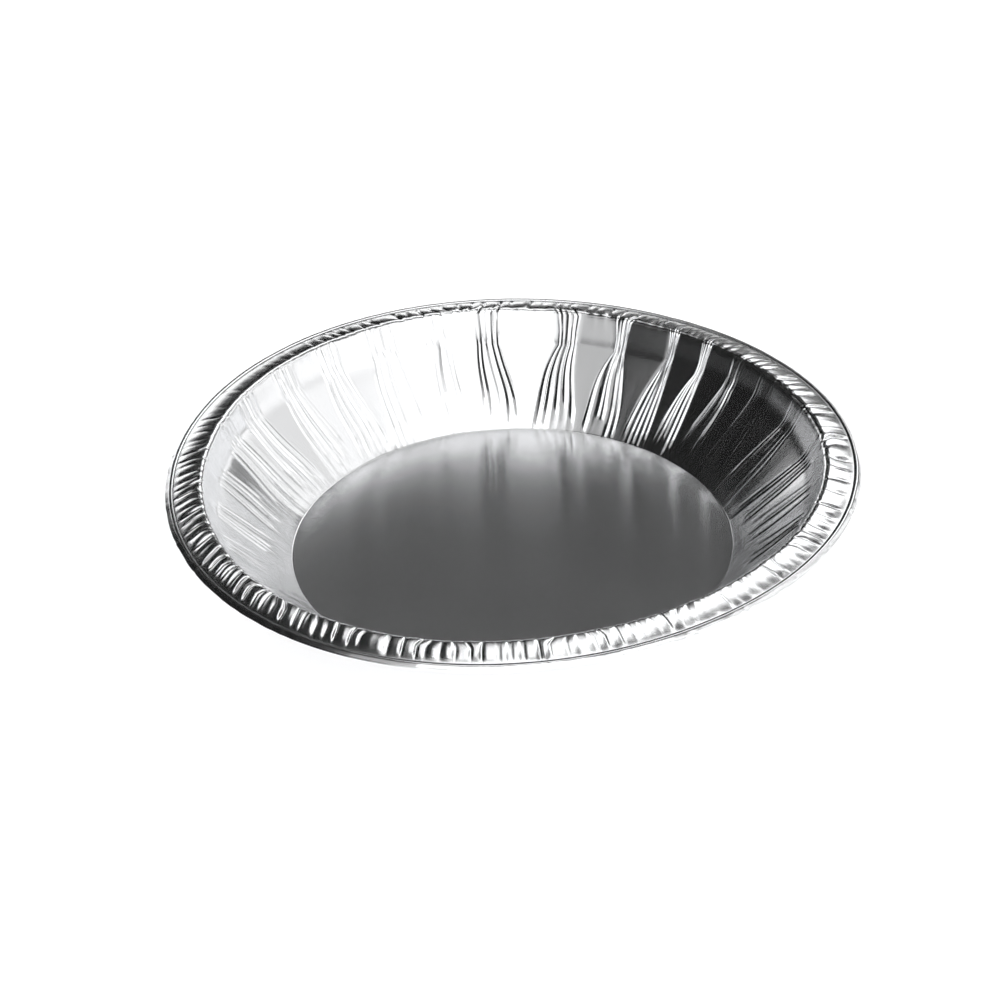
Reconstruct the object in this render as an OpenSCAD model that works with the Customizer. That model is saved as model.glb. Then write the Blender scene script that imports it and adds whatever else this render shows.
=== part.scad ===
// Foil pie tin: one disc of thin soft aluminium foil, pressed into a shallow bowl.
// Its section is drawn once, as the middle of the foil from the floor out to the
// rolled edge, and carried round the axis on a fixed number of lines. Pressing a flat
// disc into a bowl leaves foil to spare. On the wall it is gathered into narrow folds
// that fan out towards the floor, and on the flange it is pressed into a knurl. Both
// move a line of the section a little round the axis and a little along its normal.
// Millimetres, +Z up. The origin is under the floor, in the middle of the outline.

/* [Tin] */
// Diameter over the rolled edge
rim_dia = 125; // [116:1:160]
// Diameter of the flat floor
floor_dia = 80; // [66:1:86]
// Height from under the floor to the crest
tin_h = 18; // [15:0.5:30]
// Thickness of the foil
foil_t = 0.08; // [0.06:0.01:0.12]
// Radius of the bend between floor and wall, at the middle of the foil
floor_bend_r = 1; // [0.5:0.1:2]

/* [Rim] */
// Height of the steep collar, from its foot to the crest
collar_h = 5; // [4:0.2:8]
// Slope of the collar, in degrees above level
collar_slope = 65; // [55:1:75]
// Radius of the soft bend between wall and collar
shoulder_r = 3; // [1:0.5:5]
// Radius of the bend at the crest, at the middle of the foil
crest_r = 1.2; // [0.8:0.1:1.6]
// Width of the flange, from the crest out to the foot of the rolled edge
flange_w = 4.3; // [3.5:0.1:6]
// Slope of the flange, in degrees below level
flange_slope = 15; // [5:1:20]
// Diameter of the rolled edge
roll_dia = 1.8; // [1.6:0.1:2.6]
// How steeply the rolled edge stands up from the flange, in degrees
roll_rise = 50; // [35:5:60]
// How far round the edge is rolled, in degrees
roll_turn = 320; // [270:5:325]
// How far the three corners of the squeezed rim stand out of round
squeeze = 0.8; // [0:0.1:2]

/* [Folds] */
// Number of gathers round the wall, with three folds and three grooves each
gathers = 32; // [18:1:36]
// Angle of the first gather, in degrees from +X
first_gather = 4.75; // [0:0.25:11]
// Height of the tallest fold
fold_h = 0.5; // [0.1:0.05:0.8]
// Width of the widest bundle that a gather's folds are pulled into on the collar
bundle_w = 5; // [3:0.2:6.4]
// Depth of the deepest groove of the knurl
groove_h = 0.5; // [0.1:0.05:0.6]
// Seed of the uneven heights and places
seed = 7; // [1:1:99]

/* [Hidden] */

foil_colour = [0.78, 0.79, 0.80];
half_t = foil_t / 2;

// A whole number of gathers goes round, each of seven lines: the two edges of its
// bundle, three folds, and the two valleys between them
gather_n = round(gathers);
gather_lines = 7;
line_n = gather_n * gather_lines;
gather_pitch = 360 / gather_n;
line_pitch = 360 / line_n;
// The rolled edge is smooth, so fewer lines do for it
roll_lines = 3 * gather_n;
roll_steps = 6;

// For each line of a gather: its place across the bundle, and the fold it is the ridge
// of, or 0
bundle_places = [-3, -2, -1, 0, 1, 2, 3] / 6;
bundle_folds = [0, 1, 0, 2, 0, 3, 0];
folds_per_gather = max(bundle_folds);
lowest_fold = 0.45;
// A fold's height falls with this power of the share that its station gives: the fold
// that dies out soonest on its way down the wall, and the one that lasts longest
soonest_end = 2;
latest_end = 0.5;
// For each line of a gather: if it is the bottom of a groove of the knurl
groove_bottoms = [0, 1, 0, 1, 0, 1, 0];
lowest_groove = 0.5;
// The narrowest bundle, as a share of the widest one
narrowest_bundle = 0.5;
// How far a bundle and a groove may stray from an even spacing, in lines
bundle_stray = 1;
groove_stray = 0.25;

// The section, as points [radius, height] at the middle of the foil. A normal is the
// direction of the foil's upper face there, in degrees from the outward radius.
floor_normal = 90;
collar_normal = 90 + collar_slope;
flange_normal = 90 - flange_slope;
crest_normal = (collar_normal + flange_normal) / 2;
function on_arc(centre, r, a) = centre + r * [cos(a), sin(a)];

// The flange turns up in a small bend, its root, to meet the rolled edge
roll_r = roll_dia / 2 - half_t;
roll_x = rim_dia / 2 - roll_dia / 2;
root_r = 0.3;
roll_start_normal = flange_normal + roll_rise;
root_normal = (flange_normal + roll_start_normal) / 2;
root_to_roll = on_arc([0, 0], -root_r - roll_r, roll_start_normal);
flange_end_to_root = on_arc([0, 0], root_r, flange_normal);
flange_end_x = roll_x - root_to_roll.x - flange_end_to_root.x;
crest_centre = [flange_end_x - flange_w, tin_h - half_t - crest_r];
flange_start = on_arc(crest_centre, crest_r, flange_normal);
flange_end = [
    flange_end_x,
    flange_start.y - (flange_end_x - flange_start.x) * tan(flange_slope)
];
root_centre = flange_end + flange_end_to_root;
roll_centre = root_centre + root_to_roll;
knurl_end = flange_end + (flange_start - flange_end) * 0.15;

collar_top = on_arc(crest_centre, crest_r, collar_normal);
collar_foot = collar_top
    - (collar_top.y - (tin_h - collar_h)) * [1 / tan(collar_slope), 1];

// The wall runs from the collar's foot to touch the floor's bend
bend_centre = [floor_dia / 2, half_t + floor_bend_r];
bend_to_foot = collar_foot - bend_centre;
wall_slope = atan2(bend_to_foot.y, bend_to_foot.x)
    + asin(floor_bend_r / norm(bend_to_foot));
wall_normal = 90 + wall_slope;
wall_foot = on_arc(bend_centre, -floor_bend_r, wall_normal);
floor_edge = on_arc(bend_centre, -floor_bend_r, floor_normal);
wall_middle = (wall_foot + collar_foot) / 2;
shoulder_reach = shoulder_r * tan(abs(collar_normal - wall_normal) / 2);
shoulder_start = on_arc(collar_foot, -shoulder_reach, wall_slope);
shoulder_end = on_arc(collar_foot, shoulder_reach, collar_slope);

// Stations of the section from the floor out, each as [point, normal, share of the
// folds' height, share of the grooves' depth, how far the lines are pulled into
// bundles, how far they are spaced for the knurl]
stations = [
    [floor_edge, floor_normal, 0, 0, 0, 0],
    [wall_foot, wall_normal, 0.25, 0, 0, 0],
    [wall_middle, wall_normal, 0.75, 0, 0.45, 0],
    [shoulder_start, wall_normal, 1, 0, 1, 0],
    [shoulder_end, collar_normal, 1, 0, 1, 0],
    [collar_top, collar_normal, 1, 0, 0.8, 0.2],
    [on_arc(crest_centre, crest_r, crest_normal), crest_normal, 0.5, 0.5, 0.4, 0.6],
    [flange_start, flange_normal, 0, 1, 0, 1],
    [knurl_end, flange_normal, 0, 0.9, 0, 1]
];

// The rolled edge, as points with their normals: the root first, then round the roll
edge_points = concat(
    [[on_arc(root_centre, -root_r, root_normal), root_normal]],
    [
        for (s = [0 : roll_steps])
            let (normal = roll_start_normal - s * roll_turn / roll_steps)
            [on_arc(roll_centre, roll_r, normal), normal]
    ]
);

// A repeatable number from 0 to 1 for each whole number n
function uneven(n) = let (v = sin(n * 127.1 + seed * 311.7) * 4375.85) v - floor(v);

// Line i is the line place_of(i) of the gather gather_of(i)
function gather_of(i) = floor(i / gather_lines);
function place_of(i) = i % gather_lines;
function gather_angle(g) = g * gather_pitch + first_gather;
function even_angle(i) = gather_angle(0) + (i - (gather_lines - 1) / 2) * line_pitch;

// Angle of line i where its gather is pulled tight into a bundle
widest_angle = bundle_w / collar_foot.x * 180 / PI;
function bundle_angle(g) =
    widest_angle * (narrowest_bundle + (1 - narrowest_bundle) * uneven(g + 1100));
function gathered_angle(i) =
    gather_angle(gather_of(i)) + (2 * uneven(gather_of(i)) - 1) * bundle_stray * line_pitch
    + bundle_places[place_of(i)] * bundle_angle(gather_of(i));

// Angle of line i on the knurl
function knurled_angle(i) =
    even_angle(i) + (2 * uneven(i + 2000) - 1) * groove_stray * line_pitch;

function line_angle(i, gathered, knurled) =
    (1 - gathered - knurled) * even_angle(i)
    + gathered * gathered_angle(i) + knurled * knurled_angle(i);

// How far line i stands above the plain section, and how far it is pressed below it
function fold_rise(i, share) =
    let (fold = bundle_folds[place_of(i)], f = folds_per_gather * gather_of(i) + fold)
    fold == 0 ? 0
    : fold_h * (lowest_fold + (1 - lowest_fold) * uneven(f + 200))
        * pow(share, soonest_end + (latest_end - soonest_end) * uneven(f + 700));
function groove_drop(i) =
    groove_bottoms[place_of(i)] * groove_h
    * (lowest_groove + (1 - lowest_groove) * uneven(i + 3000));

// The squeeze bends the round section into a soft triangle, most at the rim
function squeezed(p, a) =
    let (r = p.x + squeeze * cos(3 * a) * pow(max(p.y, 0) / tin_h, 1.5))
    [r * cos(a), r * sin(a), p.y];

// One ring of points on a face of the foil: face is 1 on the upper one, -1 under it
function station_ring(s, face) = [
    for (i = [0 : line_n - 1])
        let (off = fold_rise(i, s[2]) - s[3] * groove_drop(i) + face * half_t)
        squeezed(on_arc(s[0], off, s[1]), line_angle(i, s[4], s[5]))
];
function edge_ring(p, face) = [
    for (i = [0 : roll_lines - 1])
        squeezed(
            on_arc(p[0], face * half_t, p[1]),
            gather_angle(-0.5) + (i + 0.5) * 360 / roll_lines
        )
];
function face_points(face) = concat(
    [for (s = stations) each station_ring(s, face)],
    [for (p = edge_points) each edge_ring(p, face)]
);

// Triangles between a ring of na points from index a and the next ring outwards, of nb
// points from index b, where nb is no more than na. The underside has the same ones,
// turned over.
function beside(i, na, nb) = floor((i + 0.5) * nb / na);
function strip(a, na, b, nb) = [
    for (i = [0 : na - 1])
        let (next = a + (i + 1) % na, p = beside(i, na, nb), q = beside(i + 1, na, nb))
        each concat(
            [[a + i, next, b + p]],
            p == q ? [] : [[next, b + q % nb, b + p]]
        )
];
function turned_over(faces) = [for (f = faces) [f[2], f[1], f[0]]];

ring_sizes = [for (s = stations) line_n, for (p = edge_points) roll_lines];
ring_last = len(ring_sizes) - 1;
function ring_start(k) =
    min(k, len(stations)) * line_n + max(k - len(stations), 0) * roll_lines;
face_size = ring_start(ring_last + 1);

module pie_tin() {
    upper = [
        for (k = [0 : ring_last - 1])
            each strip(ring_start(k), ring_sizes[k], ring_start(k + 1), ring_sizes[k + 1])
    ];
    under = [for (f = turned_over(upper)) f + [1, 1, 1] * face_size];
    edge = strip(
        ring_start(ring_last), roll_lines,
        ring_start(ring_last) + face_size, roll_lines
    );
    floor_top = [for (i = [line_n - 1 : -1 : 0]) i];
    floor_under = [for (i = [0 : line_n - 1]) i + face_size];
    color(foil_colour)
        translate([-squeeze, 0, 0])
            polyhedron(
                points = concat(face_points(1), face_points(-1)),
                faces = concat([floor_top], upper, edge, under, [floor_under]),
                convexity = 8
            );
}

pie_tin();
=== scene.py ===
# %% [markdown]
# A foil pie tin, from the sheet up.
# The real object is one disc of soft aluminium foil. A press pushes it into a shallow
# bowl in one stroke. The foil that is left over round the wall has to go somewhere, so
# it gathers into narrow folds; on the flange it is squeezed into a knurl, and the edge
# is turned up and rolled, so that it doesn't cut. The tin has no other piece, so this
# lesson makes one mesh and one metal, and most of its length goes into the folds.

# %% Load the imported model
import math

import bpy
import numpy as np
from mathutils import Matrix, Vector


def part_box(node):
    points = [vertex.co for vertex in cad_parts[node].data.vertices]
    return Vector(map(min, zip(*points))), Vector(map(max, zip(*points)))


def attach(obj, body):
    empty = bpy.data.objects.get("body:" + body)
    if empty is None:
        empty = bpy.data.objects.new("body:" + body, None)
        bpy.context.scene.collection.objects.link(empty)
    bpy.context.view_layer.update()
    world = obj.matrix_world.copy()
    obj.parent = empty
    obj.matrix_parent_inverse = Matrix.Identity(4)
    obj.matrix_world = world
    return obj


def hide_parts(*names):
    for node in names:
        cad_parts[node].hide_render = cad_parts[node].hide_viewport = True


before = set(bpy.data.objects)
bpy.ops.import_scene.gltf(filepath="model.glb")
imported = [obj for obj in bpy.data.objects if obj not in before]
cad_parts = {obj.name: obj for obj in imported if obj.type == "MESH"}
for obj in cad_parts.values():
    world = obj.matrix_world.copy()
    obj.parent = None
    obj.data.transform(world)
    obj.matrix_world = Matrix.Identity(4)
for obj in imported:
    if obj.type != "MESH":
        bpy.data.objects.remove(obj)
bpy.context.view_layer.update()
MM = 0.001
tin_low, tin_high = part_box("pie_tin")
print("tin in the frame, mm:", [round((b - a) / MM, 2) for a, b in zip(tin_low, tin_high)])

# %% [markdown]
# The section of the tin.
# A pressed tin is a turned form, so everything starts from its section: a flat floor, a
# tight bend, a sloping wall, a steep collar, a rounded crest, a slightly bowed flange
# that falls away, and a rolled edge that stands up from it. It could be a curve with a
# Screw modifier, but the folds have to know where on the section they are, so the
# section is kept as a list of stations. Each one has a point at the middle of the foil,
# the direction of the foil's upper face, the name of the part that it belongs to and
# how far along that part it is.

# %% The sizes of the section, in millimetres
RIM_DIA = 125.0
FLOOR_DIA = 80.0
TIN_H = 18.0
FOIL_T = 0.08
FLOOR_BEND_R = 0.5
COLLAR_H = 5.0
COLLAR_SLOPE = 65.0
SHOULDER_R = 8.0
CREST_R = 1.2
FLANGE_W = 4.3
FLANGE_SLOPE = 15.0
FLANGE_BOW = 8.0                 # how far its two ends turn from that slope, in degrees
ROLL_DIA = 1.8
ROLL_RISE = 50.0                 # how steeply the rolled edge stands up from the flange
ROOT_R = 0.3
ROLL_TURN = 320.0
SQUEEZE = 0.8


def towards(degrees):
    """A unit vector in the section, at an angle from the outward radius."""
    a = math.radians(degrees)
    return np.array([math.cos(a), math.sin(a)])


collar_normal = 90 + COLLAR_SLOPE
flange_normal = 90 - FLANGE_SLOPE
flange_first, flange_last = flange_normal + FLANGE_BOW, flange_normal - FLANGE_BOW
roll_normal = flange_normal + ROLL_RISE
roll_r = (ROLL_DIA - FOIL_T) / 2
roll_x = (RIM_DIA - ROLL_DIA) / 2
root_to_roll = -(roll_r + ROOT_R) * towards(roll_normal)
flange_end_x = roll_x - (root_to_roll + ROOT_R * towards(flange_last))[0]
crest_centre = np.array([flange_end_x - FLANGE_W, TIN_H - FOIL_T / 2 - CREST_R])
flange_start = crest_centre + CREST_R * towards(flange_first)
flange_run = flange_end_x - flange_start[0]
flange_end = flange_start + flange_run * np.array([1, -math.tan(math.radians(FLANGE_SLOPE))])
flange_r = np.hypot(*(flange_end - flange_start)) / 2 / math.sin(math.radians(FLANGE_BOW))
flange_centre = flange_start - flange_r * towards(flange_first)
root_centre = flange_end + ROOT_R * towards(flange_last)
roll_centre = root_centre + root_to_roll
collar_top = crest_centre + CREST_R * towards(collar_normal)
collar_drop = collar_top[1] - (TIN_H - COLLAR_H)
collar_foot = collar_top - [collar_drop / math.tan(math.radians(COLLAR_SLOPE)), collar_drop]
bend_centre = np.array([FLOOR_DIA / 2, FOIL_T / 2 + FLOOR_BEND_R])
to_foot = collar_foot - bend_centre
wall_slope = math.degrees(
    math.atan2(to_foot[1], to_foot[0]) + math.asin(FLOOR_BEND_R / np.hypot(*to_foot)))
wall_normal = 90 + wall_slope
wall_foot = bend_centre - FLOOR_BEND_R * towards(wall_normal)
shoulder_reach = SHOULDER_R * math.tan(math.radians(collar_normal - wall_normal) / 2)
shoulder_start = collar_foot - shoulder_reach * towards(wall_slope)
shoulder_end = collar_foot + shoulder_reach * towards(COLLAR_SLOPE)
shoulder_centre = shoulder_start + SHOULDER_R * towards(wall_normal)
print(f"wall slope {wall_slope:.1f} degrees, collar foot at {collar_foot.round(2)}")
print(f"rolled edge round {roll_centre.round(2)}, flange ends at {flange_end.round(2)}")

# %% Walk the section from the floor to the end of the roll
def straight(part, start, end, normal, steps):
    """Stations along a straight stretch, without its first point."""
    return [(*(start + (end - start) * k / steps), normal, part, k / steps)
            for k in range(1, steps + 1)]


def curved(part, centre, radius, first, last, steps):
    """Stations round an arc, without its first point. The normal turns with the arc."""
    out = []
    for k in range(1, steps + 1):
        normal = first + (last - first) * k / steps
        out.append((*(centre + radius * towards(normal)), normal, part, k / steps))
    return out


sheet = [(FLOOR_DIA / 2, FOIL_T / 2, 90.0, "bend", 0.0)]
sheet += curved("bend", bend_centre, -FLOOR_BEND_R, 90.0, wall_normal, 3)
sheet += straight("wall", wall_foot, shoulder_start, wall_normal, 12)
sheet += curved("shoulder", shoulder_centre, -SHOULDER_R, wall_normal, collar_normal, 4)
sheet += straight("collar", shoulder_end, collar_top, collar_normal, 4)
sheet += curved("crest", crest_centre, CREST_R, collar_normal, flange_first, 6)
sheet += curved("flange", flange_centre, flange_r, flange_first, flange_last, 8)
sheet += curved("root", root_centre, -ROOT_R, flange_last, roll_normal, 3)
roll = curved("roll", roll_centre, roll_r, roll_normal, roll_normal - ROLL_TURN, 16)
station_r, station_z, station_degrees = np.array([s[:3] for s in sheet]).T
station_normal = np.radians(station_degrees)
parts = np.array([s[3] for s in sheet])
along = np.array([s[4] for s in sheet])
print(len(sheet), "stations on the sheet,", len(roll), "round the roll")


def over(values):
    """One number a station, from {part: its numbers along the part, evenly spaced}."""
    out = np.zeros(len(sheet))
    for part, numbers in values.items():
        at = np.linspace(0, 1, len(numbers))
        out = np.where(parts == part, np.interp(along, at, numbers), out)
    return out


# %% [markdown]
# Where the lines of the mesh run.
# A crease in foil is sharp, and a crease that crosses a mesh at a slant always looks
# like stairs. So the lines of this mesh follow the creases. Each gather has thirty: five
# folds of four lines each, then ten over the plain facet to the next gather. At the
# shoulder the five folds are pinched together into a neck; above it they open a little
# up to the crest, and below it they fan out until they meet the next fan at the floor.
# Where the press held the foil well the neck is tight, and elsewhere the folds stay
# apart as single creases. Near the tight ones the gathers also crowd to one side. What
# is uneven comes from one repeatable formula, so each run gives the same tin. A loop
# with random numbers would do as well, but there each new fold would change all the
# later ones; here a fold asks for its own number, and the others stay.

# %% The gathers
GATHERS = 32
FIRST_GATHER = 4.75
PITCH = 360 / GATHERS
LINES = 30                       # lines of the mesh in one gather
ALL_LINES = GATHERS * LINES
BUNDLE = 20                      # the first lines, up to this one, are the folds
RIDGES = (2, 6, 10, 14, 18)
MIDDLE = 10
DRIFT = 7.7                      # how far the gathers crowd to one side, in degrees
DRIFT_AT, DRIFT_REACH = 70.0, 24.0
SEED = 7


def uneven(n):
    """A repeatable number from 0 to 1 for each whole number n."""
    v = math.sin(math.radians(n * 127.1 + SEED * 311.7)) * 4375.85
    return v - math.floor(v)


def swing(n):
    """A repeatable number from -1 to 1 for each whole number n."""
    return 2 * uneven(n) - 1


def varied(n):
    """A repeatable factor from 0.7 to 1.3 for each whole number n."""
    return 0.7 + 0.6 * uneven(n)


def degrees_of(length, radius):
    """The angle that a length takes up on a circle."""
    return np.degrees(length / radius)


def gather_angle(g):
    return g * PITCH + FIRST_GATHER


def near(degrees, place, reach):
    """1 at a place round the tin, falling to 0 some way from it."""
    apart = (degrees - place + 180) % 360 - 180
    return math.exp(-(apart / reach) ** 2)


def drifted(degrees):
    """An angle on the tin as it is, from the one on a tin with even gathers."""
    apart = (degrees - DRIFT_AT + 180) % 360 - 180
    return degrees - DRIFT * np.exp(-(apart / DRIFT_REACH) ** 2)


def from_keys(keys, turn=0.0):
    """A value for each line of the mesh, from {line: value} for some of them.

    The values of the lines between are evenly spaced. Once round, the value grows by
    turn, which is 360 for angles and 0 for heights."""
    lines = np.array(sorted(keys))
    values = np.array([keys[k] for k in lines])
    lines = np.concatenate([lines - ALL_LINES, lines, lines + ALL_LINES])
    values = np.concatenate([values - turn, values, values + turn])
    return np.interp(np.arange(ALL_LINES), lines, values)


print(GATHERS, "gathers on", ALL_LINES, "lines of the mesh")

# %% How tight each gather is
TIGHT_AT, TIGHT_REACH = 60.0, 30.0
TIGHT_ELSEWHERE = 0.4


def tightness(g):
    """1 for a gather pulled into a narrow neck, 0 for one whose folds stay apart."""
    side = near(gather_angle(g), TIGHT_AT, TIGHT_REACH)
    return min(1.0, side + TIGHT_ELSEWHERE * (1 - side) * uneven(g + 7100))


tight = np.array([tightness(g) for g in range(GATHERS)])
print("tight gathers:", int((tight > 0.6).sum()), "loose ones:", int((tight < 0.3).sum()))

# %% Angles of the lines in the neck, at the crest and at the floor
NECK_W = (6.4, 2.0)              # of a loose and of a tight gather
BUNDLE_W = (6.8, 3.0)
CREASE_W = (1.0, 1.6)
CREASE_SHARE = (0.32, 0.36)      # half a crease, as a share of the step to the next one
FOLD_STRAY = (0.55, 0.4)         # how unevenly the folds of a gather are spaced
NECK_STRAY, FAN_STRAY = 0.25, 0.28
FAN_SHARE = 0.86                 # how much of the pitch a fan fills at the floor
GATHER_STRAY = PITCH / 8


def by_tightness(loose_and_tight):
    """A value for each gather, between the one of a loose and the one of a tight one."""
    return np.interp(tight, (0, 1), loose_and_tight)


def fan_angles(widths, radius, loose, stray):
    """Each gather's folds spread over its width, in degrees, a little uneven.

    The creases of a loose gather are narrow, with flat foil between them; those of a
    tight one nearly touch."""
    keys = {}
    steps = widths / len(RIDGES)
    halves = np.minimum(steps * by_tightness(CREASE_SHARE),
                        degrees_of(by_tightness(CREASE_W) / 2, radius))
    loose = loose * by_tightness(FOLD_STRAY)
    for g, (width, step, half) in enumerate(zip(widths, steps, halves)):
        middle = gather_angle(g) + swing(g) * stray
        keys[g * LINES] = middle - width / 2
        keys[g * LINES + BUNDLE] = middle + width / 2
        for k, line in enumerate(RIDGES):
            shift = swing(len(RIDGES) * g + k + 3000) * loose[g] * step
            ridge = middle + (k - len(RIDGES) // 2) * step + shift
            for side in (-1, 0, 1):
                keys[g * LINES + line + side] = ridge + side * half
    return from_keys(keys, 360)


neck = fan_angles(degrees_of(by_tightness(NECK_W), collar_foot[0]),
                  collar_foot[0], NECK_STRAY, GATHER_STRAY)
bundle_top = fan_angles(degrees_of(by_tightness(BUNDLE_W), collar_top[0]),
                        collar_top[0], NECK_STRAY, GATHER_STRAY)
fan = fan_angles(np.full(GATHERS, PITCH * FAN_SHARE),
                 wall_foot[0], FAN_STRAY, GATHER_STRAY / 5)
print("lines stay in order:", all((np.diff(a) > 0).all() for a in (neck, bundle_top, fan)))

# %% Angles of the lines on the knurl
GROOVES = ((2, 4, 6), (14, 16, 18), (21, 22, 23), (24, 25, 26), (27, 28, 29))
GROOVE_PITCH = PITCH / len(GROOVES)
GROOVE_STRAY = 0.19 * GROOVE_PITCH
GROOVE_W = 0.75
PLAIN_AT, PLAIN_REACH = 0.0, 34.0
WIDER = 0.5                      # there the grooves are fewer and this much wider


def knurl_angles():
    """Five grooves a gather. The first two lie either side of its middle, and the folds
    run into them over the crest."""
    keys = {}
    for g in range(GATHERS):
        for k, lines in enumerate(GROOVES):
            n = len(GROOVES) * g + k
            middle = gather_angle(g) + (k - 0.5) * GROOVE_PITCH + swing(n + 900) * GROOVE_STRAY
            wide = 1 + WIDER * near(gather_angle(g), PLAIN_AT, PLAIN_REACH)
            wide *= varied(n + 1300)
            half = degrees_of(GROOVE_W / 2 * wide, flange_start[0])
            for side, line in zip((-1, 0, 1), lines):
                keys[g * LINES + line] = middle + side * half
    return from_keys(keys, 360)


knurl = knurl_angles()
print("knurl stays in order:", (np.diff(knurl) > 0).all())

# %% Blend the four along the section
FAN_CURVE = 1.6                  # above 1 the folds leave the neck at a wider angle
SLANT = 1.9                      # how far the knurl leans at one side, in degrees
SLANT_AT, SLANT_REACH = 208.0, 38.0
SWAY = (0.55, 0.4)               # how far a fan sways, once and twice along the wall
FOLD_SWAY = 0.22                 # and each of its folds by itself


def slant(degrees):
    """The knurl leans most at one side of the tin."""
    return SLANT * np.exp(-((degrees - SLANT_AT) / SLANT_REACH) ** 2)


def line_angles():
    in_neck = over({"shoulder": (1, 1), "collar": (1, 0)})
    in_neck += np.where(parts == "wall", along ** FAN_CURVE, 0)
    on_knurl = over({"crest": (0, 0.6), "flange": (0.6, 1, 1, 1, 1), "root": (1, 1)})
    at_top = over({"collar": (0, 1), "crest": (1, 0.4), "flange": (0.4, 0, 0, 0, 0)})
    at_floor = 1 - in_neck - on_knurl - at_top
    out = (at_floor[:, None] * fan + in_neck[:, None] * neck
           + at_top[:, None] * bundle_top + on_knurl[:, None] * knurl)
    on_wall = np.where(parts == "wall", along, 0)
    for k, size in enumerate(SWAY):
        keys = {g * LINES + MIDDLE: swing(g + 6000 + 100 * k) * size for g in range(GATHERS)}
        out += np.sin((k + 1) * math.pi * on_wall)[:, None] * from_keys(keys)
    keys = {g * LINES + line: swing(len(RIDGES) * g + k + 6500) * FOLD_SWAY
            for g in range(GATHERS) for k, line in enumerate(RIDGES)}
    out += np.sin(math.pi * on_wall)[:, None] * from_keys(keys)
    return out + over({"flange": (0, 1), "root": (1, 1)})[:, None] * slant(knurl)


angles = drifted(line_angles())
print("all lines stay in order:", (np.diff(angles, axis=1) > 0).all())

# %% [markdown]
# How far each line stands off the plain section.
# The offsets are along the section's normal, in millimetres. Each fold is a narrow
# crease, most of them ridges and some valleys, and the strips of foil between the
# creases are flat but never quite level with each other, so each one mirrors something
# else. In a tight neck the creases merge into one ridge, and at one side of the tin all
# of them are low. The facet between two gathers is flat too, like the facet of a cut
# glass, and is made by pulling its lines in to the chord.

# %% Heights of the folds
FOLD_H = (0.19, 0.4)             # of a loose and of a tight gather
LOWEST_FOLD = 0.35
FADE = (0.5, 2.0)                # the powers with which a long and a short fold fade
VALLEYS = 0.3                    # the share of folds that point outwards
STRIP_TILT = 0.07
FACET_TILT = 0.5                 # of the facet between two gathers, as a share of that
NECK_H = 0.34
LEAN = 0.13                      # how far a gather stands in or out, which tilts facets
CALM, CALM_AT, CALM_REACH = 0.6, 22.0, 20.0


def calm(g):
    """The folds are lower at one side of the tin."""
    return 1 - CALM * near(gather_angle(g), CALM_AT, CALM_REACH)


def fold_heights():
    share = over({"bend": (0, 0.2), "wall": (0.2, 0.75, 1, 0.95, 0.9), "shoulder": (0.9, 0.7),
                  "collar": (0.7, 0.6), "crest": (0.6, 0.35, 0)})
    height, fade, strips = np.zeros(ALL_LINES), np.ones(ALL_LINES), {}
    for g in range(GATHERS):
        for k, line in enumerate(RIDGES):
            n = len(RIDGES) * g + k
            tall = LOWEST_FOLD + (1 - LOWEST_FOLD) * uneven(n + 200)
            tall *= by_tightness(FOLD_H)[g] * calm(g)
            valley = uneven(n + 4100) < VALLEYS * (1 - tight[g])
            height[g * LINES + line] = -tall if valley else tall
            fade[g * LINES + line] = FADE[0] + (FADE[1] - FADE[0]) * uneven(n + 700)
            strips[g * LINES + line - 2] = swing(n + 5000)
        strips[g * LINES + BUNDLE] = swing(g + 5900)
        strips[g * LINES + (BUNDLE + LINES) // 2] = FACET_TILT * swing(g + 5500)
    creases = height * share[:, None] ** fade
    return creases + STRIP_TILT * share[:, None] * from_keys(strips)


def neck_ridges():
    share = over({"wall": (0, 0, 0.1, 0.45, 1), "shoulder": (1, 1),
                  "collar": (1, 0.6), "crest": (0.6, 0)})
    lines = np.arange(LINES)
    ridge = np.where(lines <= BUNDLE, np.sin(math.pi * lines / BUNDLE) ** 2, 0)
    tall = [NECK_H * calm(g) * tight[g] * varied(g + 5700) for g in range(GATHERS)]
    return share[:, None] * np.outer(tall, ridge).ravel()


def gather_lean():
    share = over({"wall": (0, 0.5, 1), "shoulder": (1, 1),
                  "collar": (1, 0.7), "crest": (0.7, 0)})
    keys = {g * LINES + MIDDLE: swing(g + 6300) * LEAN for g in range(GATHERS)}
    return share[:, None] * from_keys(keys)


folds = fold_heights() + neck_ridges() + gather_lean()
print(f"folds stand {folds.max():.2f} mm in and {-folds.min():.2f} mm out")


# %% Pull the facets flat
def facet_ratio():
    """How much each line's radius shrinks where its facet is a chord of the circle."""
    flatness = over({"wall": (0.2, 1, 1), "shoulder": (1, 1),
                     "collar": (1, 1), "crest": (1, 0)})
    out = np.ones_like(angles)
    lines = np.arange(BUNDLE, LINES + 1)
    for g in range(GATHERS):
        at = (g * LINES + lines) % ALL_LINES
        a = np.radians(angles[:, at])
        a[:, -1] += 2 * math.pi * (g == GATHERS - 1)
        half = (a[:, -1:] - a[:, :1]) / 2
        middle = (a[:, -1:] + a[:, :1]) / 2
        out[:, at[1:-1]] = (np.cos(half) / np.cos(a - middle))[:, 1:-1]
    return 1 + (out - 1) * flatness[:, None]


print(f"facets are pulled in to {facet_ratio().min():.4f} of the radius")

# %% [markdown]
# The knurl of the flange.
# The flange has the same foil to spare as the wall, and the press squeezes it into
# grooves, five to a gather, with narrow pads between them. Hardly two are alike: here
# and there a groove is missing, so that two pads are one wide one, the pads tilt either
# way, and each stops at its own distance from the rolled edge. At one side of this tin
# the grooves are fewer and wider, and in three places the press has only grazed the
# foil. All of it is a table of heights again, so that it is one sheet with the folds.

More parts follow.
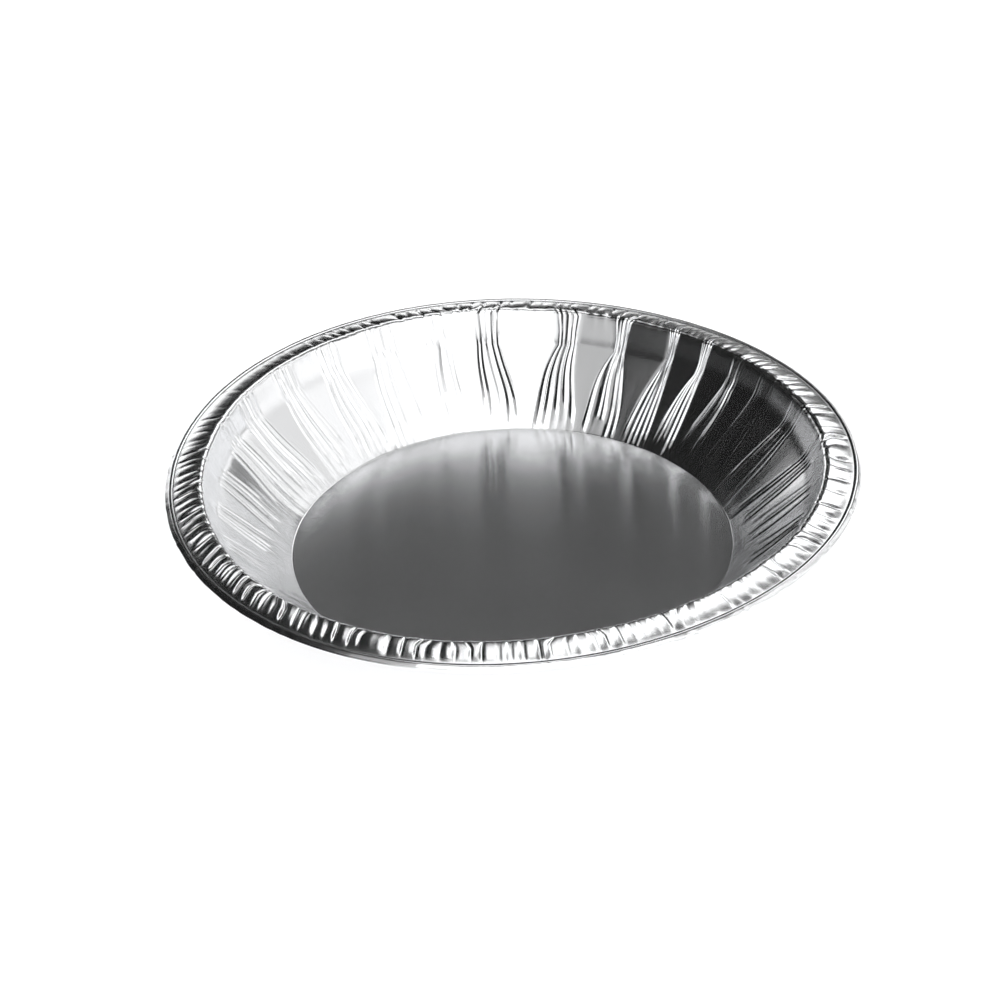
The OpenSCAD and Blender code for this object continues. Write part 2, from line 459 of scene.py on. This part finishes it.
# %% Heights of the knurl
GROOVE_H = 0.34
PAD_TILT = 0.08
PAD_DOME = 0.05
LOWEST_GROOVE = 0.45
MISSING = 0.06                   # the share of grooves that are missing
# How much of the relief is lost, at which angle and how far to either side
GRAZED = ((0.9, 145.0, 30.0), (0.8, 48.0, 22.0), (0.5, -75.0, 40.0))
PAD_END = 0.12                   # the share of the flange over which a pad ends
PAD_REACH = (0.72, 0.98)         # how far along the flange a pad goes


def shallow(g):
    """How much is left of the knurl's relief where the press has only grazed the foil."""
    return 1 - sum(much * near(gather_angle(g), at, reach) for much, at, reach in GRAZED)


def groove_depth(g, k):
    """The depth of a groove, or 0 where two pads have run together."""
    n = len(GROOVES) * g + k
    plain = near(gather_angle(g), PLAIN_AT, PLAIN_REACH) if k % 2 else 0
    if uneven(n + 2100) < MISSING + (1 - MISSING) * plain:
        return 0
    return GROOVE_H * shallow(g) * (LOWEST_GROOVE + (1 - LOWEST_GROOVE) * uneven(n + 500))


def knurl_heights():
    heights, reach = {}, {}
    for g in range(GATHERS):
        tilt = PAD_TILT * shallow(g)
        for k, (first, bottom, last) in enumerate(GROOVES):
            n = len(GROOVES) * g + k
            left, right = swing(n + 1700) * tilt, swing(n + 1900) * tilt
            depth = groove_depth(g, k)
            if not depth:
                left = right = (left + right) / 2
            heights[g * LINES + first] = left
            heights[g * LINES + last] = right
            heights[g * LINES + bottom] = (left + right) / 2 - depth
            far = PAD_REACH[0] + (PAD_REACH[1] - PAD_REACH[0]) * uneven(n + 2500)
            reach[g * LINES + last] = far
            last_one = k + 1 == len(GROOVES)
            after = LINES + GROOVES[0][0] if last_one else GROOVES[k + 1][0]
            reach[(g * LINES + after) % ALL_LINES] = far
        heights[g * LINES + MIDDLE] = PAD_DOME + swing(g + 2300) * tilt
    share = over({"collar": (0, 0.08), "crest": (0.08, 0.55, 1), "flange": (1, 1)})
    on_flange = np.where(parts == "flange", along, 0)[:, None]
    ends = np.clip((from_keys(reach) - on_flange) / PAD_END + 0.5, 0, 1)
    return share[:, None] * ends * from_keys(heights)


grooves = knurl_heights()
print(f"grooves go {-grooves.min():.2f} mm down, pads {grooves.max():.2f} mm up")

# %% [markdown]
# From tables to a shell.
# Each point of the sheet now has a place on the section, an offset and an angle. The
# two faces of the foil are the same sheet moved half the foil's thickness either way,
# joined at the end of the roll, so the mesh is closed like the real foil. The roll is
# smooth, dented where a groove runs into it and pressed a little flat on top, and takes
# half the lines. The floor takes fewer and fewer towards its middle: a small function
# stitches a ring to the next one of fewer points. Each point also notes how hard the
# press has worked the foil there, for the finish. Smooth shading would round the creases
# off, so the steep ones are marked as sharp, but not on the knurl and the roll, whose
# forms are soft. The real foil could also be a single face with a Solidify modifier, but
# that modifier pinches in creases as tight as these.

# %% Points of the two faces
ROLL_DENT = 0.16
DENT_STEPS = 3                   # the steps of the roll over which the dents set in
ROLL_FLAT_AT, ROLL_FLAT_REACH = 55.0, 38.0   # the normals between which it is pressed flat
FLOOR_WAVE = 0.03
WAVE_X, WAVE_Y, WAVE_LONG = 5.3, 4.1, 9.7    # millimetres for one radian of the waves
FLOOR_RIM = 6.0                  # the waves end over this distance from the bend
# Each ring's radius and how many points it has
FLOOR_RINGS = ((38.5, 240), (36, 240), (33, 240), (30, 240), (27, 240), (24, 120), (21, 120),
               (18, 120), (15, 120), (12, 120), (9, 60), (6, 60), (3, 60))


def squeezed(r, z, degrees):
    """Points in millimetres. The rim is a soft triangle, as a hand has squeezed it."""
    a = np.radians(degrees)
    r = r + SQUEEZE * np.cos(3 * a) * (np.clip(z, 0, None) / TIN_H) ** 1.5
    return np.stack([r * np.cos(a) - SQUEEZE, r * np.sin(a), z + 0 * a], -1)


def sheet_rings(face):
    off = folds + grooves + face * FOIL_T / 2
    r = station_r[:, None] + off * np.cos(station_normal)[:, None]
    z = station_z[:, None] + off * np.sin(station_normal)[:, None]
    return list(squeezed(r * facet_ratio(), z, angles))


def pressed_flat(normal):
    """How far a point of the roll moves in, to the chord of the flat, in millimetres."""
    apart = min(abs(normal - ROLL_FLAT_AT), ROLL_FLAT_REACH)
    chord = math.cos(math.radians(ROLL_FLAT_REACH)) / math.cos(math.radians(apart))
    return roll_r * (1 - chord)


def roll_rings(face):
    """The roll has half the lines, and a small dent wherever a groove runs into it."""
    ends = angles[-1]
    degrees = (ends[::2] + ends[1::2]) / 2
    keys = {g * LINES + line: -ROLL_DENT * uneven(len(GROOVES) * g + k + 8000) ** 2
            for g in range(GATHERS) for k, (_, line, _) in enumerate(GROOVES)}
    keys |= {g * LINES + line: 0 for g in range(GATHERS) for line in (0, MIDDLE, BUNDLE)}
    dents = from_keys(keys)[::2]
    rings = []
    for step, (x, z, normal, _, _) in enumerate(roll):
        a = math.radians(normal)
        off = face * FOIL_T / 2 - pressed_flat(normal) + dents * min(1, step / DENT_STEPS)
        rings.append(squeezed(x + off * math.cos(a), z + off * math.sin(a), degrees))
    return rings


def floor_rings(face):
    """The floor is nearly flat: a press leaves it a few hundredths uneven."""
    rings = []
    for r, count in FLOOR_RINGS:
        lines = (np.arange(count) + 0.5) * ALL_LINES / count - 0.5
        degrees = drifted(FIRST_GATHER + (lines - MIDDLE) * 360 / ALL_LINES)
        x, y = r * np.cos(np.radians(degrees)), r * np.sin(np.radians(degrees))
        wave = np.sin(x / WAVE_X + 1) * np.cos(y / WAVE_Y)
        wave += np.sin((x + 2 * y) / WAVE_LONG + 2)
        lift = FLOOR_WAVE * (1 + wave / 2) * min(1, (FLOOR_DIA / 2 - r) / FLOOR_RIM)
        rings.append(squeezed(r, FOIL_T / 2 * (1 + face) + lift, degrees))
    return rings


print("size over the roll, mm:", np.ptp(np.concatenate(roll_rings(1)), axis=0).round(2))

# %% How hard the press has worked the foil: not at all on the floor, most on the knurl
PRESSED = over({"bend": (0, 0.4), "wall": (0.4, 0.5), "shoulder": (0.5, 0.6),
                "collar": (0.6, 0.7), "crest": (0.7, 1), "flange": (1, 1), "root": (1, 1)})
PRESSED_ROLL = 0.8
print("worked hard:", ", ".join(sorted(set(parts[PRESSED >= PRESSED_ROLL]))), "and the roll")

# %% Stitch the rings together
def stitch(a, na, b, nb):
    """Triangles between a ring of na points and one of nb, no more than na."""
    faces = []
    for i in range(na):
        p, q = int((i + 0.5) * nb / na), int((i + 1.5) * nb / na)
        nxt = a + (i + 1) % na
        if na == nb:
            faces.append((a + i, b + i, b + q % nb, nxt))
        else:
            faces.append((a + i, b + p, nxt))
            if q != p:
                faces.append((nxt, b + p, b + q % nb))
    return faces


print(len(stitch(0, 6, 6, 3)), "triangles join a ring of 6 points to one of 3")

# %% Put one face of the foil together
def face_mesh(face, start):
    """One face of the foil, as points and faces that look up."""
    outward = sheet_rings(face) + roll_rings(face)
    inward = floor_rings(face)
    middle = np.array([[-SQUEEZE, 0, FOIL_T / 2 * (1 + face)]])
    rings = outward + inward + [middle]
    starts = start + np.concatenate([[0], np.cumsum([len(r) for r in rings])])
    faces = []
    for k in range(len(outward) - 1):
        faces += stitch(starts[k], len(rings[k]), starts[k + 1], len(rings[k + 1]))
    into = [0] + list(range(len(outward), len(rings) - 1))
    for k, m in zip(into, into[1:]):
        inner = stitch(starts[k], len(rings[k]), starts[m], len(rings[m]))
        faces += [f[::-1] for f in inner]
    last, hub = into[-1], starts[-2]
    n = len(rings[last])
    faces += [(starts[last] + i, starts[last] + (i + 1) % n, hub) for i in range(n)]
    roll_end = (starts[len(outward) - 1], len(rings[len(outward) - 1]))
    pressed = list(PRESSED) + [PRESSED_ROLL] * len(roll) + [0] * (len(inward) + 1)
    pressed = np.repeat(pressed, [len(r) for r in rings])
    return np.concatenate(rings), faces, roll_end, pressed


# %% Keep the creases sharp
SHARP_FROM = 18.0                # degrees between two faces


def keep_sharp(mesh, where):
    """Shade the steep creases as creases, but only among the given points."""
    mesh.set_sharp_from_angle(angle=math.radians(SHARP_FROM))
    ends = np.empty(2 * len(mesh.edges), int)
    mesh.edges.foreach_get("vertices", ends)
    sharp = np.empty(len(mesh.edges), bool)
    layer = mesh.attributes["sharp_edge"].data
    layer.foreach_get("value", sharp)
    sharp &= where[ends].reshape(-1, 2).all(1)
    layer.foreach_set("value", sharp)
    print("sharp edges:", int(sharp.sum()), "of", len(sharp))


# %% Make the tin
def make_tin():
    top, top_faces, (top_end, n), top_pressed = face_mesh(1, 0)
    under, under_faces, (under_end, _), under_pressed = face_mesh(-1, len(top))
    edge = stitch(top_end, n, under_end, n)
    faces = top_faces + [f[::-1] for f in under_faces] + edge
    mesh = bpy.data.meshes.new("foil_shell")
    mesh.from_pydata((np.concatenate([top, under]) * MM).tolist(), [],
                     [tuple(int(v) for v in f) for f in faces])
    mesh.validate()
    mesh.shade_smooth()
    pressed = np.concatenate([top_pressed, under_pressed])
    mesh.attributes.new("pressed", "FLOAT", "POINT").data.foreach_set("value", pressed)
    keep_sharp(mesh, pressed < PRESSED_ROLL)
    tin = bpy.data.objects.new("foil_shell", mesh)
    bpy.context.scene.collection.objects.link(tin)
    return tin


tin = make_tin()
tin.data.calc_loop_triangles()
print("triangles:", len(tin.data.loop_triangles))
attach(tin, "root")
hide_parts("pie_tin")

# %% [markdown]
# The finish of rolled foil.
# Kitchen foil is bare aluminium that has been rolled thin, so it has no coat and no
# colour of its own: a metal shader with a pale grey base. The rollers leave fine lines
# all in one direction, which smear a reflection across them, so that the floor shows
# the folds of the wall behind it as upright streaks. The shader's anisotropy does that,
# along a direction that is laid over the disc as it was before pressing. Where the press
# has worked the foil hard it is a little duller and its lines are less clear, and there
# it is also softly uneven, a few millimetres across; the floor is left nearly as rolled.
# That and the roller's lines are far too fine for the mesh, so they are a bump.

# %% Lay the rolling direction over the sheet
def lay_rolling_direction(obj):
    """A flat map of the disc seen from above, in metres."""
    layer = obj.data.uv_layers.new(name="rolled_sheet")
    points = np.empty(len(obj.data.vertices) * 3)
    obj.data.vertices.foreach_get("co", points)
    corners = np.empty(len(obj.data.loops), int)
    obj.data.loops.foreach_get("vertex_index", corners)
    flat = points.reshape(-1, 3)[corners][:, :2] + 0.5
    layer.data.foreach_set("uv", flat.ravel())


lay_rolling_direction(tin)
print("corners on the flat map:", len(tin.data.loops))


# %% Uneven surfaces, as noise over the object's own millimetres
def noise(nodes, links, per_mm, detail):
    """Noise with a number of waves to the millimetre along X, Y and Z."""
    place = nodes.new("ShaderNodeTexCoord")
    mapping = nodes.new("ShaderNodeMapping")
    mapping.inputs["Scale"].default_value = [n / MM for n in per_mm]
    texture = nodes.new("ShaderNodeTexNoise")
    texture.inputs["Scale"].default_value = 1.0
    texture.inputs["Detail"].default_value = detail
    links.new(place.outputs["Object"], mapping.inputs["Vector"])
    links.new(mapping.outputs["Vector"], texture.inputs["Vector"])
    return texture.outputs["Fac"]


def between(nodes, links, value, low, high):
    """A value from 0 to 1 turned into one from low to high."""
    spread = nodes.new("ShaderNodeMapRange")
    spread.inputs["To Min"].default_value = low
    spread.inputs["To Max"].default_value = high
    links.new(value, spread.inputs["Value"])
    return spread.outputs["Result"]


def relief(nodes, links, height, depth_mm, strength=None, under=None):
    """A bump of a depth in millimetres, on top of another one if there is one."""
    bump = nodes.new("ShaderNodeBump")
    bump.inputs["Strength"].default_value = 1.0
    bump.inputs["Distance"].default_value = depth_mm * MM
    links.new(height, bump.inputs["Height"])
    if strength:
        links.new(strength, bump.inputs["Strength"])
    if under:
        links.new(under, bump.inputs["Normal"])
    return bump.outputs["Normal"]


# %% The foil
FOIL_COLOUR = (0.86, 0.865, 0.875, 1)
ROUGHNESS = (0.16, 0.22)         # of foil as rolled, and of foil pressed hard
ANISOTROPY = (1.0, 0.5)
UNEVENNESS = (0.15, 1)
QUARTER_TURN = 0.25              # reflections smear across the lines, not along them
HANDLED = ((0.35, 0.35, 0.35), 2)            # waves to the millimetre, and detail
HANDLED_DEPTH = 0.02
ROLLER_LINES = ((0.03, 2.5, 2.5), 1)
ROLLER_DEPTH = 0.001


def rolled_foil():
    mat = bpy.data.materials.new("rolled_foil")
    mat.use_nodes = True
    nodes, links = mat.node_tree.nodes, mat.node_tree.links
    shader = nodes["Principled BSDF"]
    shader.inputs["Metallic"].default_value = 1.0
    shader.inputs["Base Color"].default_value = FOIL_COLOUR
    shader.inputs["Anisotropic Rotation"].default_value = QUARTER_TURN
    tangent = nodes.new("ShaderNodeTangent")
    tangent.direction_type = "UV_MAP"
    tangent.uv_map = "rolled_sheet"
    links.new(tangent.outputs["Tangent"], shader.inputs["Tangent"])
    pressed = nodes.new("ShaderNodeAttribute")
    pressed.attribute_name = "pressed"
    pressed = pressed.outputs["Fac"]
    links.new(between(nodes, links, pressed, *ROUGHNESS), shader.inputs["Roughness"])
    links.new(between(nodes, links, pressed, *ANISOTROPY), shader.inputs["Anisotropic"])
    handled = relief(nodes, links, noise(nodes, links, *HANDLED), HANDLED_DEPTH,
                     strength=between(nodes, links, pressed, *UNEVENNESS))
    lines = relief(nodes, links, noise(nodes, links, *ROLLER_LINES), ROLLER_DEPTH,
                   under=handled)
    links.new(lines, shader.inputs["Normal"])
    return mat


tin.data.materials.append(rolled_foil())
print("finish of", tin.name + ":", tin.data.materials[0].name)

# %% [markdown]
# The camera.
# The photograph looks down on the tin from 33 degrees above level with a long lens, and
# is tipped by two degrees. The camera is placed by those angles and not by eye, and the
# lens's shift puts the tin's middle where it is in the photograph, which leaves the
# tin's outline to say if the angles are right.

# %% Place the camera
CAMERA_ELEVATION = 33.4
CAMERA_TIP = -2.24
CAMERA_FROM = 0.5625             # metres from the middle of the floor
LENS_PX = 3081.5                 # the focal length, in pixels of the photograph
PHOTO = 1000
ORIGIN_PX = (516.4, 543.4)       # where the middle of the floor is in it
SENSOR = 36.0


def place_camera():
    up_angle, tip = math.radians(CAMERA_ELEVATION), math.radians(CAMERA_TIP)
    back = np.array([0, -math.cos(up_angle), math.sin(up_angle)])
    right = np.array([1.0, 0, 0])
    up = np.cross(back, right)
    cam_x = math.cos(tip) * right + math.sin(tip) * up
    cam_y = -math.sin(tip) * right + math.cos(tip) * up
    data = bpy.data.cameras.new("camera")
    data.sensor_width = SENSOR
    data.lens = LENS_PX / PHOTO * SENSOR
    data.shift_x = 0.5 - ORIGIN_PX[0] / PHOTO
    data.shift_y = ORIGIN_PX[1] / PHOTO - 0.5
    camera = bpy.data.objects.new("camera", data)
    bpy.context.scene.collection.objects.link(camera)
    axes = np.array([cam_x, cam_y, back, CAMERA_FROM * back]).T
    camera.matrix_world = Matrix([*axes.tolist(), (0, 0, 0, 1)])
    bpy.context.scene.camera = camera
    print(f"lens {data.lens:.1f} mm, {CAMERA_FROM} m from the tin")


place_camera()

# %% [markdown]
# Paper, a dark tent and softboxes.
# Bright metal is a picture of the room around it, so the room is built on purpose. White
# paper gives the white ground. Round the tin stands a dark tent, which the floor of the
# tin and the dark facets mirror, with softboxes and strips of light in it for the bright
# ones. The strips have dark gaps between them, so that each crease shows as a thin line,
# and a dim grey card behind the strips keeps the left wall from turning black. Lamps
# would do for a dull object, but a lamp is only a small spot in a mirror. The camera
# can't see the panels, and they light nothing but the foil.

# %% Paper and world
PAPER_SIZE = 6
PAPER_GREY = 0.9
PAPER_GLOW = 0.45                # added where the camera or a reflection sees the paper
ROOM_GLOW = 0.9


def floor_paper():
    mat = bpy.data.materials.new("floor_paper")
    mat.use_nodes = True
    nodes, links = mat.node_tree.nodes, mat.node_tree.links
    shader = nodes["Principled BSDF"]
    shader.inputs["Base Color"].default_value = (PAPER_GREY, PAPER_GREY, PAPER_GREY, 1)
    shader.inputs["Roughness"].default_value = 0.9
    shader.inputs["Specular IOR Level"].default_value = 0.0
    shader.inputs["Emission Color"].default_value = (1, 1, 1, 1)
    path = nodes.new("ShaderNodeLightPath")
    seen = path.outputs["Is Camera Ray"]
    for ray in ("Is Glossy Ray", "Is Transmission Ray"):
        either = nodes.new("ShaderNodeMath")
        either.operation = "MAXIMUM"
        links.new(seen, either.inputs[0])
        links.new(path.outputs[ray], either.inputs[1])
        seen = either.outputs[0]
    strength = nodes.new("ShaderNodeMath")
    strength.operation = "MULTIPLY"
    strength.inputs[1].default_value = PAPER_GLOW
    links.new(seen, strength.inputs[0])
    links.new(strength.outputs[0], shader.inputs["Emission Strength"])
    return mat


bpy.ops.mesh.primitive_plane_add(size=PAPER_SIZE)
floor = bpy.context.object
floor.name = "paper_floor"
floor.data.materials.append(floor_paper())

world = bpy.data.worlds.new("white_room")
bpy.context.scene.world = world
world.use_nodes = True
background = world.node_tree.nodes["Background"]
background.inputs["Color"].default_value = (1, 1, 1, 1)
background.inputs["Strength"].default_value = ROOM_GLOW
bpy.context.scene.view_settings.view_transform = "Standard"
print(f"a sheet of paper {PAPER_SIZE} m wide in a room of strength {ROOM_GLOW}")


# %% A dark tent with softboxes in it
def direction(azimuth, elevation):
    """Azimuth 0 is behind the tin, 90 to its right; elevation is above level."""
    a, e = math.radians(azimuth), math.radians(elevation)
    return np.array([math.sin(a) * math.cos(e), math.cos(a) * math.cos(e), math.sin(e)])


def plain_emitter(name, strength):
    mat = bpy.data.materials.new(name)
    mat.use_nodes = True
    nodes, links = mat.node_tree.nodes, mat.node_tree.links
    nodes.clear()
    emission = nodes.new("ShaderNodeEmission")
    emission.inputs["Strength"].default_value = strength
    out = nodes.new("ShaderNodeOutputMaterial")
    links.new(emission.outputs[0], out.inputs["Surface"])
    return mat


def sky_panel(name, azimuths, elevations, strength, distance, step=10):
    """A curved panel that only the foil sees, spanning the given angles."""
    across = max(2, round((azimuths[1] - azimuths[0]) / step) + 1)
    up = max(2, round((elevations[1] - elevations[0]) / step) + 1)
    points = [tuple(distance * direction(a, e))
              for e in np.linspace(*elevations, up) for a in np.linspace(*azimuths, across)]
    firsts = [i * across + j for i in range(up - 1) for j in range(across - 1)]
    faces = [(k, k + 1, k + across + 1, k + across) for k in firsts]
    mesh = bpy.data.meshes.new(name)
    mesh.from_pydata(points, [], faces)
    mesh.materials.append(plain_emitter(name, strength))
    mesh.materials[0].cycles.emission_sampling = "NONE"
    panel = bpy.data.objects.new(name, mesh)
    bpy.context.scene.collection.objects.link(panel)
    panel.visible_camera = False
    panel.visible_diffuse = False
    panel.visible_shadow = False
    return panel


TENT_AWAY, CARD_AWAY, BOX_AWAY = 1.5, 1.35, 1.3
TENT_GLOW, CARD_GLOW = 0.012, 0.4
# Each with its azimuths, its elevations and how bright it is
SOFTBOXES = {
    "box_back_right": ((12, 38), (22, 67), 1.7),
    "strip_right_1": ((50, 64), (8, 52), 1.3),
    "strip_right_2": ((72, 88), (4, 52), 1.35),
    "strip_right_3": ((95, 125), (-1, 52), 1.4),
    "box_front_right": ((131, 165), (-1, 52), 1.4),
    "box_front": ((165, 205), (-1, 52), 1.3),
    "box_front_left_1": ((205, 211), (-1, 45), 1.05),
    "box_front_left_2": ((211, 217), (-1, 45), 0.8),
    "box_front_left_3": ((217, 223), (-1, 45), 0.55),
    "box_front_left_4": ((223, 230), (-1, 30), 0.3),
    "box_front_high": ((100, 218), (52, 68), 1.5),
    "box_front_top": ((130, 235), (68, 82), 1.8),
    "box_left_high": ((218, 245), (46, 66), 0.6),
    "box_back_high": ((-30, 30), (66, 80), 1.8),
    "box_back_middle": ((-20, 12), (54, 66), 1.2),
    "step_left_1": ((-17.5, -11), (-1, 8), 1.5),
    "step_left_2": ((-21, -17.5), (-1, 14), 1.5),
    "step_left_3": ((-26, -21), (-1, 18), 1.5),
    "step_left_4": ((-37, -26), (-1, 24), 1.4),
    "box_back_low": ((-8, 4), (-1, 6), 2.0),
    "box_right_low": ((24, 50), (-1, 9), 1.3),
}
sky_panel("card_tent", (-180, 180), (-1, 90), TENT_GLOW, TENT_AWAY)
sky_panel("card_grey", (48, 165), (-1, 52), CARD_GLOW, CARD_AWAY)
for name, (azimuths, elevations, strength) in SOFTBOXES.items():
    sky_panel(name, azimuths, elevations, strength, BOX_AWAY)
print("panels round the tin:", len(SOFTBOXES) + 2)
